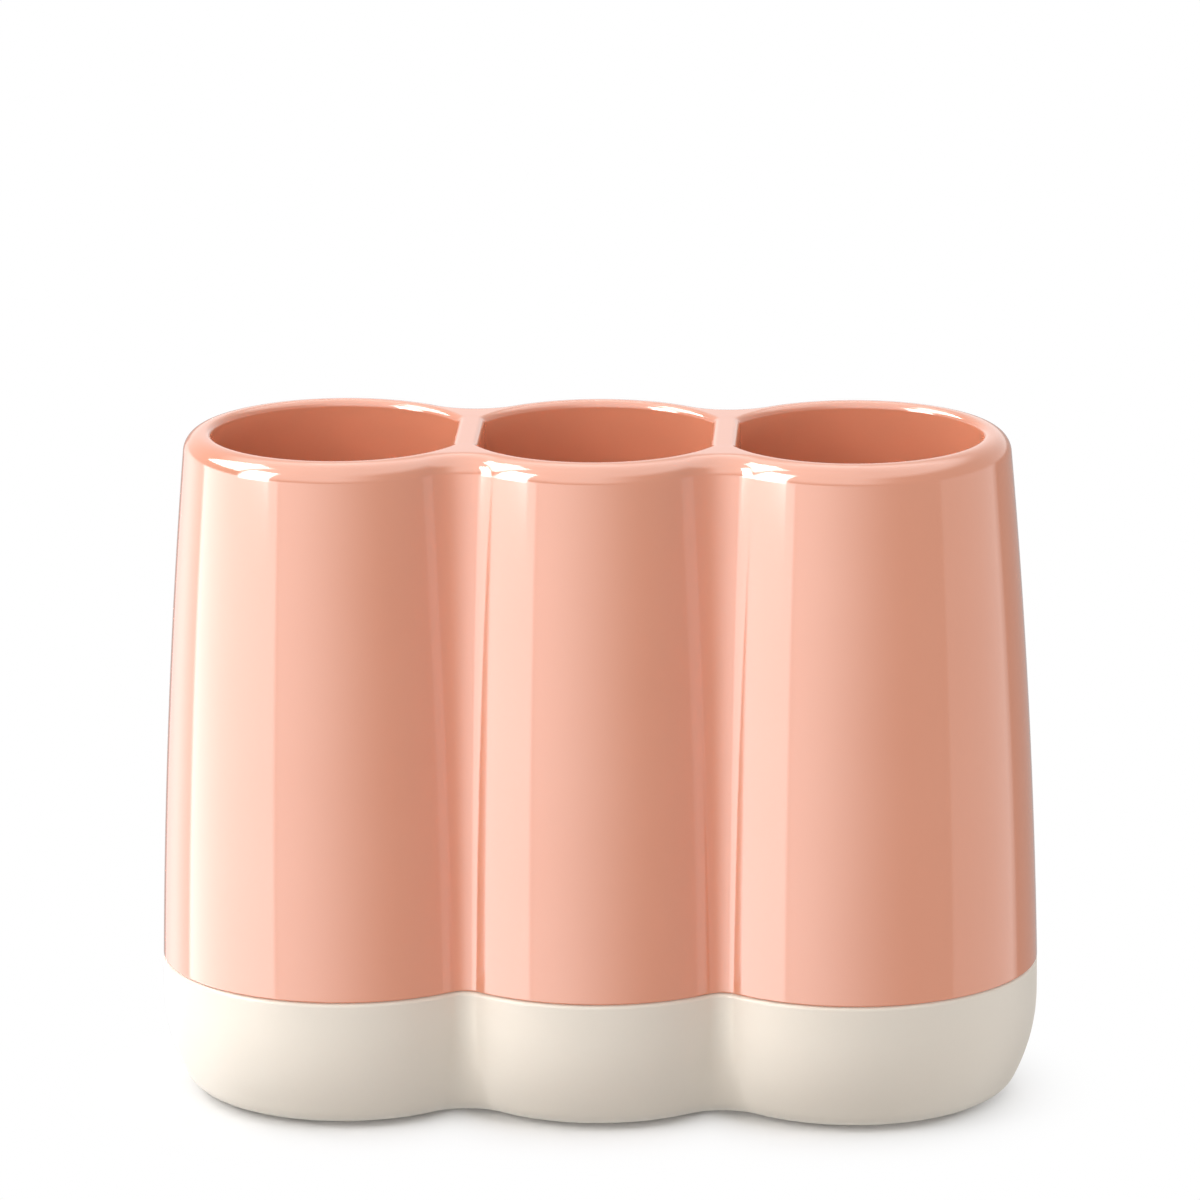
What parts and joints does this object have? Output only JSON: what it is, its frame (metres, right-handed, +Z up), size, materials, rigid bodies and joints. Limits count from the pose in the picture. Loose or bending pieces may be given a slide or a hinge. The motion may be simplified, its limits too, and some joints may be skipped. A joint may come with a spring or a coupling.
{
  "type": "toothbrush holder",
  "caption": "Free-standing toothbrush holder: a glossy lobed sleeve with open compartments side by side, on a rounded drip base that lifts off.",
  "frame": {"origin": "middle of the footprint, on the surface that the holder stands on", "axes": "+X along the row of compartments, to the right as seen from the front; +Y to the back; +Z up"},
  "size_m": [0.138, 0.058, 0.1062],
  "materials": {
    "sleeve_gloss": "polished, peach",
    "base_satin": "satin, warm cream",
    "seal_silicone": "matt, pale grey",
    "drain_floor_plastic": "fine matt, peach",
    "foot_silicone": "matt, warm grey"
  },
  "bodies": {
    "base": {"base_cup": "base_satin", "base_seal": "seal_silicone", "foot_front_left": "foot_silicone", "foot_front_right": "foot_silicone", "foot_back_left": "foot_silicone", "foot_back_right": "foot_silicone"},
    "sleeve": {"upper_sleeve": "sleeve_gloss"},
    "drain_floor": {"drain_floor": "drain_floor_plastic"}
  },
  "joints": [
    {"name": "sleeve_lift", "type": "slide", "parent": "base", "child": "sleeve", "axis": [0, 0, 1], "range_m": [0, 0.04]},
    {"name": "floor_push_off", "type": "slide", "parent": "sleeve", "child": "drain_floor", "axis": [0, 0, -1], "range_m": [0, 0.005]}
  ]
}
